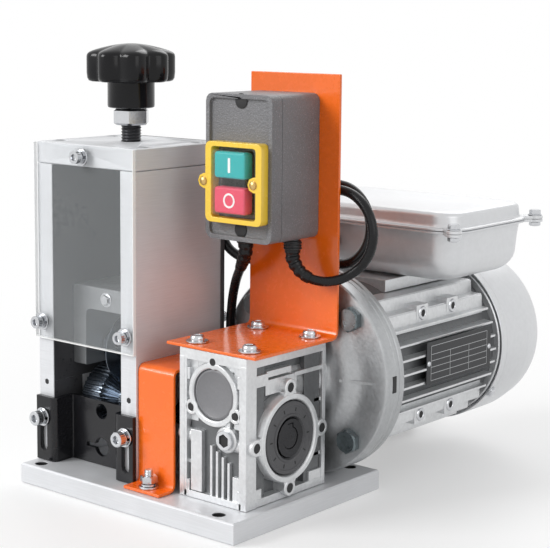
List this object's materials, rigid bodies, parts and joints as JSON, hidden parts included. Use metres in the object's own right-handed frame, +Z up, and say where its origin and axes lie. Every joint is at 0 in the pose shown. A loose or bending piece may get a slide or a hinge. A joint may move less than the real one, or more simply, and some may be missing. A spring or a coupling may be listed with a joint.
{
  "type": "electric wire stripping machine",
  "caption": "Bench wire stripper: a geared motor turns a toothed feed roller under a blade wheel that a star knob raises and lowers; switch box on a bracket.",
  "frame": {"origin": "centre of the underside of the base plate", "axes": "+Z up, +X to the operator's right from the head to the gearbox, +Y away from the operator along the motor"},
  "size_m": [0.2438, 0.3246, 0.3011],
  "materials": {
    "ground_steel": "ground steel plate",
    "bright_steel": "bright turned or plated steel",
    "black_oxide": "blackened steel",
    "black_paint": "satin black paint",
    "clear_sheet": "clear acrylic",
    "clear_boot": "clear soft plastic",
    "cast_aluminium": "die-cast, shot-blasted",
    "silver_paint": "silver paint on pressed steel",
    "orange_paint": "glossy orange powder coat",
    "black_gloss": "polished black phenolic",
    "black_plastic": "moulded black plastic",
    "grey_plastic": "fine textured dark grey plastic",
    "yellow_plastic": "moulded yellow plastic",
    "green_plastic": "moulded blue-green plastic",
    "red_plastic": "moulded red plastic",
    "bronze": "cast bronze",
    "black_rubber": "black rubber",
    "plate_black": "black anodised with bare lines"
  },
  "bodies": {
    "frame": {"base_plate": "ground_steel", "left_side_plate": "ground_steel", "right_side_plate": "ground_steel", "top_plate": "ground_steel", "front_guard": "clear_sheet", "rear_guard": "black_paint", "left_guide_screw": "bright_steel", "right_guide_screw": "bright_steel", "left_drive_bearing": "bright_steel", "right_drive_bearing": "bright_steel", "coupling_cover": "orange_paint", "gearbox_housing": "cast_aluminium", "worm_cover": "black_rubber", "left_output_seal": "black_rubber", "right_output_seal": "black_rubber", "left_output_bearing": "bright_steel", "right_output_bearing": "bright_steel", "front_worm_bearing": "bright_steel", "rear_worm_bearing": "bright_steel", "oil_plug": "bright_steel", "input_flange": "cast_aluminium", "motor_front_shield": "cast_aluminium", "motor_housing": "cast_aluminium", "stator": "black_oxide", "front_motor_bearing": "bright_steel", "rear_motor_bearing": "bright_steel", "rear_shield": "cast_aluminium", "fan_cover": "silver_paint", "terminal_box": "silver_paint", "terminal_box_lid": "silver_paint", "capacitor": "black_plastic", "nameplate": "plate_black", "switch_bracket": "orange_paint", "switch_box_base": "grey_plastic", "switch_box_cover": "grey_plastic", "switch_bezel": "yellow_plastic", "button_boot": "clear_boot", "switch_body": "black_plastic", "box_grommets": "black_rubber", "lead_gland": "black_plastic", "motor_lead": "black_rubber", "mains_cord": "black_rubber", "cord_coil": "black_rubber", "mains_plug": "black_rubber"},
    "carriage": {"blade_carriage": "cast_aluminium", "blade_axle": "bright_steel"},
    "knob": {"adjusting_screw": "black_oxide", "star_knob": "black_gloss", "knob_nut": "bright_steel"},
    "blade": {"blade_wheel": "bright_steel"},
    "rotor": {"worm_shaft": "bright_steel", "rotor": "bright_steel", "cooling_fan": "black_plastic"},
    "drive": {"drive_shaft": "bright_steel", "drive_roller": "bright_steel", "output_shaft": "black_oxide", "worm_wheel": "bronze"},
    "guide": {"wire_guide": "black_paint"},
    "start": {"start_button": "green_plastic"},
    "stop": {"stop_button": "red_plastic"}
  },
  "joints": [
    {"name": "carriage_slide", "type": "slide", "parent": "frame", "child": "carriage", "axis": [0, 0, 1], "range_m": [-0.0005, 0.03]},
    {"name": "knob_turn", "type": "hinge", "parent": "carriage", "child": "knob", "pos_m": [-0.0503, -0.014, 0.2], "axis": [0, 0, 1], "range_deg": [-95, 5405]},
    {"name": "blade_spin", "type": "hinge", "parent": "carriage", "child": "blade", "pos_m": [-0.0503, -0.014, 0.0915], "axis": [1, 0, 0], "continuous": true},
    {"name": "rotor_spin", "type": "hinge", "parent": "frame", "child": "rotor", "pos_m": [0.0602, 0, 0.084], "axis": [0, 1, 0], "continuous": true},
    {"name": "drive_spin", "type": "hinge", "parent": "frame", "child": "drive", "pos_m": [0, -0.014, 0.054], "axis": [1, 0, 0], "continuous": true},
    {"name": "guide_slide", "type": "slide", "parent": "frame", "child": "guide", "axis": [0, 0, 1], "range_m": [0, 0.021]},
    {"name": "start_press", "type": "slide", "parent": "frame", "child": "start", "axis": [0, 1, 0], "range_m": [0, 0.003], "stiffness_N_per_m": 500},
    {"name": "stop_press", "type": "slide", "parent": "frame", "child": "stop", "axis": [0, 1, 0], "range_m": [0, 0.003], "stiffness_N_per_m": 500}
  ],
  "couplings": [
    {"joint": "knob_turn", "follows": "carriage_slide", "rad_per_m": 3141.6},
    {"joint": "drive_spin", "follows": "rotor_spin", "ratio": 0.033333}
  ]
}
